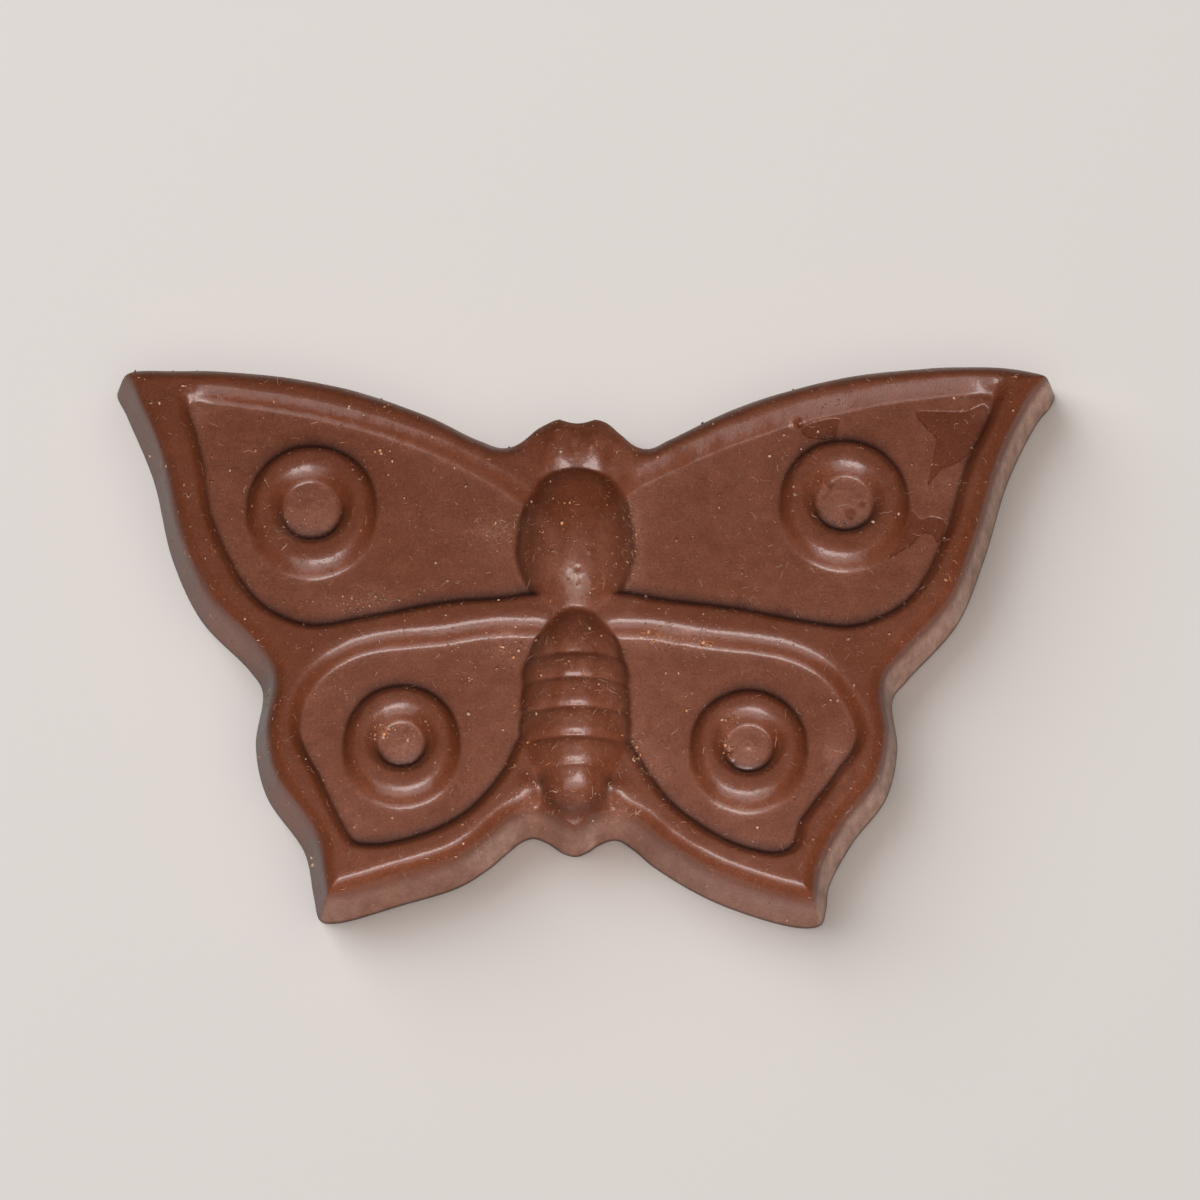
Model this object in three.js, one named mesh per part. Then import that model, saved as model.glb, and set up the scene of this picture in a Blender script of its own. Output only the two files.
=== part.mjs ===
// A moulded milk chocolate butterfly: one solid piece with a flat back, drafted side
// walls, a rounded rim round each wing, four sunk fields with an eyespot in each, and a
// raised body of head, thorax, ringed abdomen and tail.
//
// Frame: millimetres, +Z up, flat back on z = 0, wings along X, head towards +Y.
// The upper side is a height above the table for each point inside the outline, so the
// whole solid is that surface closed by the flat back.
import * as THREE from 'three';

// ---- Driving dimensions ----

const WALL_SLOPE = 4.8 / 0.95; // the mould's draft: 4.8 mm up for 0.95 mm in
const WALL_ROUND = 0.5; // width of the round where a wall turns into the top

const FIELD_LEVEL = 5.9; // the sunk flat of each wing
const RIM_LEVEL = 7.4; // crest of the rims and of the ridge between the wings
const WALL_TOP_INSET = 0.95; // from the outline in to the top of the wall
const RIM_CREST_INSET = 2.95; // from the outline in to the crest
const RIM_OUTER_DROP = 2.6; // how far the rim's round shoulder falls to the wall
const RIM_APRON = 1.7; // slope of the skirt beside the tail, below the shoulder
const RIM_FILLET = 0.25; // softens the meeting of shoulder and bank

// A bank falls from a rim to a field or from a bead. It is hollow over its foot and rounded
// over its run. Banks that face -Y are the gentlest.
const BANK_FOOT = 0.2;
const BANK_FRONT_FOOT = 1.15;
const BANK_RUN = 1.3;
const BANK_RUN_TURN = 0.55;
// The right fore field's bank that faces -Y is a longer ramp with a shorter foot.
const RAMP_FOOT = 0.5;
const RAMP_EXTRA_RUN = 1.05;
const RIM_FRONT_SHIFT = 0.3; // a bank facing -Y stands this much back from its field

const EYE_BEAD_HEIGHT = 1.4;
const EYE_BUTTON_HEIGHT = 0.35;
const EYE_FILLET = 0.25;
const EYE_FRONT_SHIFT = 0.3; // a bead reaches this much further out at its -Y side

const BODY_AXIS_X = -0.9; // the moulding puts the body a little left of the middle
const BODY_FILLET = 0.8; // soft foot round the body
const BODY_ROOT = 4.4; // level that the sections of the body spring from
const BODY_DEPTH = 2.6; // the least depth of a section, where the crest is low
const BODY_ROUNDNESS = 0.55; // 0.5 makes an elliptic section, more makes a peaked one
const GROOVE_PINCH = 0.4; // how far a groove also nips in the sides

// The outline of the wings and head at table level, anticlockwise between the two notches
// beside the tail.
const WINGS = [
  [2.5, -17.0],
  [3.9, -17.8],
  [5.8, -19.4],
  [11.0, -22.4],
  [18.0, -24.5],
  [19.7, -24.2],
  [20.1, -23.0],
  [20.4, -21.0],
  [22.3, -17.4],
  [25.3, -13.4],
  [26.3, -9.2],
  [26.0, -4.8],
  [27.2, -3.2],
  [31.6, 1.8],
  [34.0, 7.5],
  [36.2, 14.5],
  [38.8, 19.7],
  [40.05, 21.3],
  [40.35, 22.3],
  [39.6, 23.15],
  [38.0, 23.65],
  [35.0, 24.1],
  [27.5, 23.9],
  [20.1, 22.8],
  [12.6, 20.5],
  [6.4, 17.5],
  [4.9, 16.85],
  [3.9, 17.6],
  [2.5, 18.8],
  [0.7, 19.3],
  [-0.8, 18.95],
  [-2.4, 19.3],
  [-4.7, 18.4],
  [-6.8, 16.95],
  [-8.6, 17.5],
  [-13.3, 19.8],
  [-20.4, 22.2],
  [-28.0, 23.5],
  [-35.0, 23.8],
  [-39.1, 23.6],
  [-40.5, 22.5],
  [-39.6, 20.3],
  [-37.2, 14.6],
  [-35.4, 7.5],
  [-32.8, 2.1],
  [-28.6, -2.3],
  [-27.5, -4.1],
  [-28.0, -8.8],
  [-27.0, -13.2],
  [-23.7, -18.1],
  [-22.9, -21.8],
  [-22.3, -23.9],
  [-21.0, -24.1],
  [-15.6, -22.6],
  [-10.6, -21.0],
  [-8.1, -19.4],
  [-6.5, -18.0],
  [-5.5, -17.2],
  [-4.5, -16.85],
];
// The rounded end of the tail closes the outline.
const TAIL_END = [
  [-3.3, -17.25],
  [-2.0, -18.1],
  [-0.9, -18.4],
  [0.2, -18.0],
  [1.1, -17.4],
];
const UNDER_TAIL = [-1.0, -15.3]; // where the rims of the wings would meet under the tail

// The edges of the four sunk fields. Each runs in under the body, which covers it there.
const LEFT_FORE_FIELD = [
  [-33.8, 19.3],
  [-32.5, 14.7],
  [-31.5, 9.4],
  [-28.1, 2.7],
  [-23.4, 0.1],
  [-18.2, 0.9],
  [-12.3, 2.0],
  [-6.0, 2.6],
  [-3.0, 3.6],
  [-2.6, 7.6],
  [-4.6, 10.0],
  [-8.0, 12.6],
  [-14.0, 15.6],
  [-21.0, 17.9],
  [-28.0, 19.2],
  [-33.6, 19.7],
];
const RIGHT_FORE_FIELD = [
  [34.5, 19.7],
  [33.9, 20.1],
  [26.5, 19.5],
  [19.8, 18.1],
  [13.0, 15.9],
  [7.4, 13.4],
  [3.8, 11.5],
  [1.2, 7.8],
  [1.6, 3.6],
  [5.0, 2.6],
  [12.9, 1.5],
  [18.6, 0.3],
  [22.4, 0.0],
  [27.0, 2.3],
  [30.2, 8.0],
  [32.1, 13.9],
];
const LEFT_HIND_FIELD = [
  [-3.2, -1.2],
  [-5.6, -0.7],
  [-12.0, -1.4],
  [-19.0, -2.4],
  [-22.7, -4.9],
  [-24.0, -9.0],
  [-22.0, -13.2],
  [-19.8, -17.7],
  [-19.0, -18.5],
  [-15.5, -18.4],
  [-10.5, -16.3],
  [-7.2, -12.8],
  [-5.4, -9.4],
  [-3.2, -6.6],
];
const RIGHT_HIND_FIELD = [
  [1.6, -1.2],
  [4.2, -0.8],
  [9.5, -1.6],
  [16.6, -2.7],
  [20.4, -4.9],
  [22.5, -9.6],
  [20.5, -13.0],
  [17.7, -16.9],
  [17.0, -18.9],
  [16.0, -19.4],
  [11.9, -18.4],
  [7.0, -15.0],
  [3.7, -10.2],
  [1.6, -6.6],
];
const FIELDS = [LEFT_FORE_FIELD, RIGHT_FORE_FIELD, LEFT_HIND_FIELD, RIGHT_HIND_FIELD];
const FRONT_BANKS = [[], [RAMP_FOOT, RAMP_EXTRA_RUN], [], []]; // for each field's front bank

// Eyespots: a bead ring, given by its inner and outer radius, round a shallow button.
const EYESPOTS = [
  { x: -23.2, y: 10.3, beadInner: 2.65, beadOuter: 5.45, button: 2.4 },
  { x: 21.8, y: 10.9, beadInner: 2.55, beadOuter: 5.4, button: 2.35 },
  { x: -15.4, y: -9.95, beadInner: 2.05, beadOuter: 4.8, button: 1.9 },
  { x: 13.5, y: -10.35, beadInner: 2.1, beadOuter: 4.8, button: 1.95 },
];

// The body as stations along Y: half width, then height of the crest above the table.
const THORAX = [
  [13.6, 0.9, 6.0],
  [13.2, 2.6, 7.9],
  [12.4, 3.7, 9.0],
  [10.8, 4.5, 9.5],
  [8.6, 5.0, 9.9],
  [6.3, 5.2, 9.95],
  [4.8, 4.9, 9.75],
  [3.4, 4.3, 9.2],
  [2.2, 3.5, 8.4],
  [1.2, 2.6, 7.7],
  [-0.4, 0.9, 6.6],
];
const ABDOMEN = [
  [1.9, 0.6, 6.0],
  [1.0, 1.9, 7.8],
  [0.0, 2.9, 8.6],
  [-1.6, 3.9, 9.25],
  [-3.6, 4.55, 9.7],
  [-6.2, 4.7, 9.85],
  [-8.7, 4.85, 9.75],
  [-10.8, 4.75, 9.6],
  [-12.1, 4.3, 9.45],
  [-13.0, 3.8, 9.25],
  [-14.2, 3.6, 8.7],
  [-15.5, 3.3, 7.6],
  [-16.8, 2.8, 6.4],
  [-18.8, 2.1, 4.9],
];
// The abdomen's rings lie between these places along Y; each has the depth of its groove.
const GROOVES = [
  [1.9, 0.0],
  [-2.95, 0.5],
  [-5.1, 0.3],
  [-7.6, 0.32],
  [-10.1, 0.32],
  [-12.5, 0.2],
  [-18.8, 0.0],
];

// The head: a broad dome with two small lobes at the front, as ellipsoid caps.
const HEAD_CAPS = [
  { x: -0.7, y: 15.4, halfX: 6.2, halfY: 4.8, top: 8.4 },
  { x: -2.3, y: 15.6, halfX: 2.5, halfY: 3.6, top: 8.6 },
  { x: 0.7, y: 15.6, halfX: 2.5, halfY: 3.6, top: 8.6 },
];

// ---- How finely the surface is faceted ----

const CURVE_STEP = 0.2; // along the exact curves that distances are measured to
const COLUMN_STEP = 0.8; // between the columns of vertices beside a curve
const COLUMN_TURN = 1.6; // how much closer they come where the curve turns
const FILL_STEP = 2.0; // between vertices on open flats
const CLOSEST = 0.28; // no two vertices come nearer than this
const EDGE_RINGS = [0.85, 1.05, 1.4, 2.0, 2.9]; // insets of the vertex rings along the walls
const FIELD_RINGS = [1.5, 0.9, 0.4, -0.05, -0.5]; // the same along the fields, outside them
const EYESPOT_SPOKES = 26;
const EYESPOT_RINGS = [0.13, 0.32, 0.5, 0.68, 0.86, 1.03, 1.25]; // from a bead's inner to its outer edge
const HEAD_STEP = 0.7; // between vertices on the head
const SPACING_SHARE = 0.6; // of a grid's step that its vertices keep from other vertices
const BODY_REACHES = [0, 0.22, 0.43, 0.62, 0.78, 0.9, 0.98];
const BODY_FOOT_GAPS = [0.35, 1.0]; // vertices just outside the body
const TOP_MARGIN = 3.05; // nearer the outline than this stand only the wall's own rings
const RIM_MARGIN = 3.15; // the same for the rings along the fields
const RING_SLACK = 0.03; // a ring breaks off where another part of its curve is nearer
const FILL_SWAY = 0.05; // keeps four vertices of the fill from lying on one circle

// ---- Curves and distances ----

function closedCurve(points) {
  const knots = points.map(([x, y]) => new THREE.Vector3(x, y, 0));
  const curve = new THREE.CatmullRomCurve3(knots, true, 'centripetal');
  const count = Math.round(curve.getLength() / CURVE_STEP);
  const places = curve.getSpacedPoints(count).slice(0, count);
  if (THREE.ShapeUtils.area(places) < 0) places.reverse();
  return places.map((p) => [p.x, p.y]);
}

// A point's inset from an anticlockwise closed loop, positive inside it and negative outside,
// and how far the loop's nearest edge faces -Y seen from outside the loop, from -1 to 1.
function edgeOf(loop, x, y) {
  let nearest = Infinity;
  let inside = false;
  let front = 0;
  for (let i = 0, j = loop.length - 1; i < loop.length; j = i, i += 1) {
    const [ax, ay] = loop[j];
    const [bx, by] = loop[i];
    const dx = bx - ax;
    const dy = by - ay;
    const along = ((x - ax) * dx + (y - ay) * dy) / (dx * dx + dy * dy);
    const t = THREE.MathUtils.clamp(along, 0, 1);
    const distance = Math.hypot(ax + t * dx - x, ay + t * dy - y);
    if (distance < nearest) {
      nearest = distance;
      front = -dx / Math.hypot(dx, dy);
    }
    if (ay > y !== by > y && x < ax + ((y - ay) / dy) * dx) inside = !inside;
  }
  return { inset: inside ? nearest : -nearest, front };
}

function insetFrom(loop, x, y) {
  return edgeOf(loop, x, y).inset;
}

const outline = closedCurve([...WINGS, ...TAIL_END]);
const wings = closedCurve([...WINGS, UNDER_TAIL]);
const fields = FIELDS.map(closedCurve);

// ---- Height of the upper side ----

function smoothMax(a, b, width) {
  const overlap = Math.max(width - Math.abs(a - b), 0) / width;
  return Math.max(a, b) + (overlap * overlap * width) / 4;
}

function smoothMin(a, b, width) {
  return -smoothMax(-a, -b, width);
}

// Smooth curve through stations [place, value, value, ...], listed from +Y to -Y.
function stationAt(stations, y, column) {
  const first = stations[0];
  const last = stations[stations.length - 1];
  if (y >= first[0]) return first[column];
  if (y <= last[0]) return last[column];
  const i = stations.findIndex((station) => station[0] < y);
  const slopeAt = (k) => {
    const before = stations[Math.max(k - 1, 0)];
    const after = stations[Math.min(k + 1, stations.length - 1)];
    return (after[column] - before[column]) / (after[0] - before[0]);
  };
  const a = stations[i - 1];
  const b = stations[i];
  const span = b[0] - a[0];
  const t = (y - a[0]) / span;
  const rise = b[column] - a[column];
  const ease = t * t * (3 - 2 * t);
  const leave = slopeAt(i - 1) * span * t * (1 - t) * (1 - t);
  const arrive = slopeAt(i) * span * t * t * (t - 1);
  return a[column] + rise * ease + leave + arrive;
}

// A domed section: 1 in the middle, 0 at the edge, below 0 outside it.
function dome(reachSquared) {
  const rest = 1 - reachSquared;
  return Math.sign(rest) * Math.abs(rest) ** BODY_ROUNDNESS;
}

function grooveDepth(y) {
  const i = GROOVES.findIndex(([place]) => place < y);
  if (i < 1) return 0;
  const [top, topDepth] = GROOVES[i - 1];
  const [bottom, bottomDepth] = GROOVES[i];
  const across = ((top - y) / (top - bottom)) * 2 - 1;
  const depth = across < 0 ? topDepth : bottomDepth;
  return depth * Math.abs(across) ** 3;
}

function stationedBody(stations, x, y, groove) {
  const first = stations[0];
  const last = stations[stations.length - 1];
  if (y > first[0] || y < last[0]) return -Infinity;
  const halfWidth = stationAt(stations, y, 1) - groove * GROOVE_PINCH;
  const crest = stationAt(stations, y, 2) - groove;
  const reach = (x - BODY_AXIS_X) / halfWidth;
  return crest - Math.max(crest - BODY_ROOT, BODY_DEPTH) * (1 - dome(reach * reach));
}

function headHeight(x, y) {
  const heights = HEAD_CAPS.map((cap) => {
    const reach = ((x - cap.x) / cap.halfX) ** 2 + ((y - cap.y) / cap.halfY) ** 2;
    return BODY_ROOT + (cap.top - BODY_ROOT) * dome(reach);
  });
  return heights.reduce((a, b) => smoothMax(a, b, BODY_FILLET));
}

function bodyHeight(x, y) {
  const thorax = stationedBody(THORAX, x, y, 0);
  const abdomen = stationedBody(ABDOMEN, x, y, grooveDepth(y));
  const head = headHeight(x, y);
  const parts = [thorax, abdomen, head].filter(Number.isFinite);
  return parts.reduce((a, b) => smoothMax(a, b, BODY_FILLET));
}

// Rise of a bank at a distance up from its foot. front is 1 where it faces -Y.
function bankHeight(gap, front, drop, frontFoot = BANK_FRONT_FOOT, extraRun = 0) {
  const foot = BANK_FOOT + (frontFoot - BANK_FOOT) * Math.max(front, 0);
  const run = BANK_RUN + BANK_RUN_TURN * front + extraRun * Math.max(front, 0);
  const slope = (2 * drop) / (foot + run);
  if (gap < 0) return (slope * Math.max(gap + foot, 0) ** 2) / (2 * foot);
  const up = Math.min(gap, run);
  return slope * (foot / 2 + up - (up * up) / (2 * run));
}

// The rim of the wings: a round shoulder above the wall, then a bank down to each field.
function rimHeight(inset, fieldEdges) {
  const shoulder = (RIM_CREST_INSET - inset) / (RIM_CREST_INSET - WALL_TOP_INSET);
  const outer = THREE.MathUtils.clamp(shoulder, 0, 1);
  const crown = RIM_LEVEL - RIM_OUTER_DROP * (1 - Math.sqrt(1 - outer * outer));
  const apron = Math.max(WALL_TOP_INSET - inset, 0) * RIM_APRON;
  return fieldEdges.reduce((height, edge, i) => {
    const gap = -edge.inset - RIM_FRONT_SHIFT * Math.max(edge.front, 0);
    const rise = bankHeight(gap, edge.front, RIM_LEVEL - FIELD_LEVEL, ...FRONT_BANKS[i]);
    return smoothMin(height, FIELD_LEVEL + rise, RIM_FILLET);
  }, crown - apron);
}

function eyespotHeight(eye, x, y) {
  const radius = Math.hypot(x - eye.x, y - eye.y) + 1e-9;
  const front = (eye.y - y) / radius;
  const outerGap = eye.beadOuter + EYE_FRONT_SHIFT * Math.max(front, 0) - radius;
  const outer = bankHeight(outerGap, front, EYE_BEAD_HEIGHT);
  const inner = bankHeight(radius - eye.beadInner, -front, EYE_BEAD_HEIGHT);
  const cap = EYE_BUTTON_HEIGHT * (1 - 0.5 * (radius / eye.button) ** 2);
  const button = smoothMin(cap, (eye.button - radius) * 2, EYE_FILLET);
  return FIELD_LEVEL + smoothMax(smoothMin(outer, inner, EYE_FILLET), button, EYE_FILLET);
}

function surfaceHeight(x, y) {
  const inset = insetFrom(outline, x, y);
  const fieldEdges = fields.map((field) => edgeOf(field, x, y));
  let top = rimHeight(insetFrom(wings, x, y), fieldEdges);
  for (const eye of EYESPOTS) top = smoothMax(top, eyespotHeight(eye, x, y), EYE_FILLET);
  top = smoothMax(top, bodyHeight(x, y), BODY_FILLET);
  return smoothMin(top, inset * WALL_SLOPE, WALL_ROUND);
}

// ---- Vertices, placed along the features ----

const vertices = [];

function isFree(x, y, spacing) {
  return vertices.every(([vx, vy]) => Math.hypot(vx - x, vy - y) >= spacing);
}

function addVertex(x, y, spacing) {
  if (isFree(x, y, spacing)) vertices.push([x, y]);
}

// Places along a loop where columns of vertices stand, each with the loop's inward normal.
function columnsOf(loop) {
  const columns = [];
  const side = THREE.ShapeUtils.area(loop.map(([x, y]) => ({ x, y }))) < 0 ? -1 : 1;
  let travelled = COLUMN_STEP;
  loop.forEach(([x, y], i) => {
    const [ax, ay] = loop.at(i - 1);
    const [bx, by] = loop[(i + 1) % loop.length];
    const turn = ((x - ax) * (by - y) - (y - ay) * (bx - x)) / CURVE_STEP ** 2;
    travelled += CURVE_STEP + COLUMN_TURN * Math.abs(turn);
    if (travelled < COLUMN_STEP) return;
    const length = Math.hypot(bx - ax, by - ay);
    columns.push({ x, y, nx: (-side * (by - ay)) / length, ny: (side * (bx - ax)) / length });
    travelled = 0;
  });
  return columns;
}

// A ring of vertices beside a closed loop, at a fixed distance on its inner side. Rings of
// one loop share their columns, so the facets between them are even.
function addRing(loop, columns, distance, keep) {
  for (const column of columns) {
    const x = column.x + column.nx * distance;
    const y = column.y + column.ny * distance;
    const onRing = Math.abs(insetFrom(loop, x, y)) > Math.abs(distance) - RING_SLACK;
    if (onRing && keep(x, y)) addVertex(x, y, CLOSEST);
  }
}

function addEyespotRings(eye) {
  const inner = [0, eye.button * 0.45, eye.button - 0.3, eye.button + 0.05];
  const width = eye.beadOuter - eye.beadInner;
  const bead = EYESPOT_RINGS.map((share) => eye.beadInner + share * width);
  const spokes = [1, EYESPOT_SPOKES / 4];
  [...inner, ...bead].forEach((radius, ringIndex) => {
    const count = spokes[ringIndex] ?? EYESPOT_SPOKES;
    for (let k = 0; k < count; k += 1) {
      const angle = (k / count) * 2 * Math.PI;
      addVertex(eye.x + radius * Math.cos(angle), eye.y + radius * Math.sin(angle), CLOSEST);
    }
  });
}

function addBodyRows(stations, rows) {
  for (const y of rows) {
    const halfWidth = stationAt(stations, y, 1);
    const reaches = BODY_REACHES.map((reach) => reach * halfWidth);
    const feet = BODY_FOOT_GAPS.map((gap) => halfWidth + gap);
    for (const reach of [...reaches, ...feet]) {
      for (const x of [BODY_AXIS_X + reach, BODY_AXIS_X - reach]) {
        if (insetFrom(outline, x, y) > TOP_MARGIN) addVertex(x, y, CLOSEST);
      }
    }
  }
}

function abdomenRows() {
  const rows = [0.9, 0.2, -0.6, -1.4, -2.2];
  for (let i = 1; i < GROOVES.length - 2; i += 1) {
    const top = GROOVES[i][0];
    const length = top - GROOVES[i + 1][0];
    for (const part of [0, 0.3, 0.68]) rows.push(top - part * length);
  }
  return [...rows, -12.5, -13.1, -13.8, -14.5, -15.2, -15.9, -16.6];
}

function thoraxRows() {
  const count = 16;
  return Array.from({ length: count }, (_, k) => 12.9 - (k * 12.2) / (count - 1));
}

// A hexagonal grid over the inner part of the outline, filling the places that are free.
function addGrid(step, spacing, keep) {
  const box = new THREE.Box2().setFromPoints(outline.map(([x, y]) => new THREE.Vector2(x, y)));
  const rowStep = step * Math.sin(Math.PI / 3);
  const rowCount = Math.ceil((box.max.y - box.min.y) / rowStep);
  const columnCount = Math.ceil((box.max.x - box.min.x) / step);
  for (let row = 0; row < rowCount; row += 1) {
    for (let column = 0; column < columnCount; column += 1) {
      const evenX = box.min.x + (column + (row % 2) / 2) * step;
      const evenY = box.min.y + row * rowStep;
      const x = evenX + FILL_SWAY * Math.sin(7.1 * evenX + 3.3 * evenY);
      const y = evenY + FILL_SWAY * Math.sin(5.3 * evenX - 6.7 * evenY);
      if (keep(x, y) && insetFrom(outline, x, y) > TOP_MARGIN) addVertex(x, y, spacing);
    }
  }
}

function isOnHead(x, y) {
  return headHeight(x, y) > FIELD_LEVEL;
}

function isUncovered(x, y) {
  return bodyHeight(x, y) < FIELD_LEVEL + RIM_FILLET && insetFrom(outline, x, y) > RIM_MARGIN;
}

const edgeColumns = columnsOf(outline);
addRing(outline, edgeColumns, 0, () => true);
const edgeCount = vertices.length;
EDGE_RINGS.forEach((inset) => addRing(outline, edgeColumns, inset, () => true));
addBodyRows(ABDOMEN, abdomenRows());
addBodyRows(THORAX, thoraxRows());
addGrid(HEAD_STEP, HEAD_STEP * SPACING_SHARE, isOnHead);
EYESPOTS.forEach(addEyespotRings);
fields.forEach((field) => {
  const columns = columnsOf(field);
  FIELD_RINGS.forEach((gap) => addRing(field, columns, -gap, isUncovered));
});
addGrid(FILL_STEP, FILL_STEP * SPACING_SHARE, () => true);

// ---- Delaunay triangles in plan ----

function circleThrough([ax, ay], [bx, by], [cx, cy]) {
  const twice = 2 * (ax * (by - cy) + bx * (cy - ay) + cx * (ay - by));
  const a2 = ax * ax + ay * ay;
  const b2 = bx * bx + by * by;
  const c2 = cx * cx + cy * cy;
  const x = (a2 * (by - cy) + b2 * (cy - ay) + c2 * (ay - by)) / twice;
  const y = (a2 * (cx - bx) + b2 * (ax - cx) + c2 * (bx - ax)) / twice;
  return { x, y, r2: (ax - x) ** 2 + (ay - y) ** 2 };
}

function delaunay(points) {
  const all = [...points, [-900, -900], [900, -900], [0, 900]];
  const makeTriangle = (a, b, c) => ({ corners: [a, b, c], ...circleThrough(all[a], all[b], all[c]) });
  let triangles = [makeTriangle(points.length, points.length + 1, points.length + 2)];
  points.forEach(([px, py], p) => {
    const rim = new Map();
    triangles = triangles.filter((triangle) => {
      if ((px - triangle.x) ** 2 + (py - triangle.y) ** 2 >= triangle.r2) return true;
      triangle.corners.forEach((from, k) => {
        const to = triangle.corners[(k + 1) % 3];
        if (!rim.delete(`${to},${from}`)) rim.set(`${from},${to}`, [from, to]);
      });
      return false;
    });
    rim.forEach(([from, to]) => triangles.push(makeTriangle(from, to, p)));
  });
  return triangles.map((triangle) => triangle.corners).filter((c) => Math.max(...c) < points.length);
}

// ---- The solid ----

function isInside(corners) {
  const x = corners.reduce((sum, c) => sum + vertices[c][0], 0) / 3;
  const y = corners.reduce((sum, c) => sum + vertices[c][1], 0) / 3;
  return insetFrom(vertices.slice(0, edgeCount), x, y) > 0;
}

function buildGeometry() {
  const heights = vertices.map(([x, y], i) => (i < edgeCount ? 0 : surfaceHeight(x, y)));
  const top = delaunay(vertices).filter(isInside);
  const contour = vertices.slice(0, edgeCount).map(([x, y]) => new THREE.Vector2(x, y));
  const back = THREE.ShapeUtils.triangulateShape(contour, []).map(([a, b, c]) => [c, b, a]);
  const geometry = new THREE.BufferGeometry();
  const positions = vertices.flatMap(([x, y], i) => [x, y, heights[i]]);
  geometry.setAttribute('position', new THREE.Float32BufferAttribute(positions, 3));
  geometry.setIndex([...top, ...back].flat());
  geometry.computeVertexNormals();
  return geometry;
}

const milkChocolate = new THREE.MeshStandardMaterial({
  color: 0x74473a,
  roughness: 0.42,
  metalness: 0,
});

const butterfly = new THREE.Mesh(buildGeometry(), milkChocolate);
butterfly.name = 'butterfly';

const model = new THREE.Group();
model.add(butterfly);

export default model;
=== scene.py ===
# The looks of a moulded milk chocolate butterfly. One dense mesh stands for the solid, with
# the same rims, sunk fields, eyespots and body, finely shaped. Loose crumbs and scraped curls
# of chocolate lie on it. Lengths in the tables are millimetres and are turned into metres
# only where a mesh is made.
import math

import bpy
import numpy as np
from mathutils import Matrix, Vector
from mathutils.geometry import delaunay_2d_cdt
from mathutils.kdtree import KDTree


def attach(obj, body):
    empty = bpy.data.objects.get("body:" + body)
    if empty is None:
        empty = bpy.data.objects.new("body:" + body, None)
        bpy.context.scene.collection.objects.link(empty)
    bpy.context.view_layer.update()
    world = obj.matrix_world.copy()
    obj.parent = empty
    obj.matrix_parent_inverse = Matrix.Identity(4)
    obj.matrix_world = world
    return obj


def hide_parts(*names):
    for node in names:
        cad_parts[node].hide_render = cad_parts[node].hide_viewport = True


MM = 0.001

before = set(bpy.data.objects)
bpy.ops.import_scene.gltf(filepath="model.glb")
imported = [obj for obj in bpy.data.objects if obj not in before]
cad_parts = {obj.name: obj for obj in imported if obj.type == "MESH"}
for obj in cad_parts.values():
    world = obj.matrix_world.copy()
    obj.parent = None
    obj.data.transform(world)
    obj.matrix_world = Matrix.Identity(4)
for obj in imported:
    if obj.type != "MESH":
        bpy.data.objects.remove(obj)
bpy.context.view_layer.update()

# ---- The camera, which stands where the photographer stood ----

CAMERA_TARGET = (1.14, 4.0, 0.0)
CAMERA_DISTANCE = 420.0
CAMERA_TILT = math.radians(15)
CAMERA_LENS = 147.66
CAMERA_SENSOR = 36.0


def make_camera():
    data = bpy.data.cameras.new("camera")
    data.lens = CAMERA_LENS
    data.sensor_width = CAMERA_SENSOR
    data.clip_start = 0.01
    camera = bpy.data.objects.new("camera", data)
    bpy.context.scene.collection.objects.link(camera)
    x, y, z = CAMERA_TARGET
    y -= CAMERA_DISTANCE * math.sin(CAMERA_TILT)
    z += CAMERA_DISTANCE * math.cos(CAMERA_TILT)
    camera.location = (x * MM, y * MM, z * MM)
    camera.rotation_euler = (CAMERA_TILT, 0, 0)
    bpy.context.scene.camera = camera


# ---- The form: the same driving dimensions as the solid ----

WALL_SLOPE = 4.8 / 0.95
WALL_ROUND = 0.5
FIELD_LEVEL = 5.9
RIM_LEVEL = 7.4
WALL_TOP_INSET = 0.95
RIM_CREST_INSET = 2.95
RIM_OUTER_DROP = 2.6
RIM_APRON = 1.7
RIM_FILLET = 0.25
# A bank is hollow over its foot and rounded over its run. Banks that face -Y are the gentlest.
BANK_FOOT = 0.2
BANK_FRONT_FOOT = 1.15
BANK_RUN = 1.3
BANK_RUN_TURN = 0.55
# For each field, how long the foot is of its bank that faces -Y, and how much longer its run.
FRONT_BANKS = ((BANK_FRONT_FOOT, 0), (0.5, 1.05), (BANK_FRONT_FOOT, 0), (BANK_FRONT_FOOT, 0))
RIM_FRONT_SHIFT = 0.3
EYE_BEAD_HEIGHT = 1.4
EYE_BUTTON_HEIGHT = 0.35
EYE_FILLET = 0.25
EYE_FRONT_SHIFT = 0.3
BODY_AXIS_X = -0.9
BODY_FILLET = 0.8
BODY_ROOT = 4.4
BODY_DEPTH = 2.6
BODY_ROUNDNESS = 0.55
GROOVE_PINCH = 0.4

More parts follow.
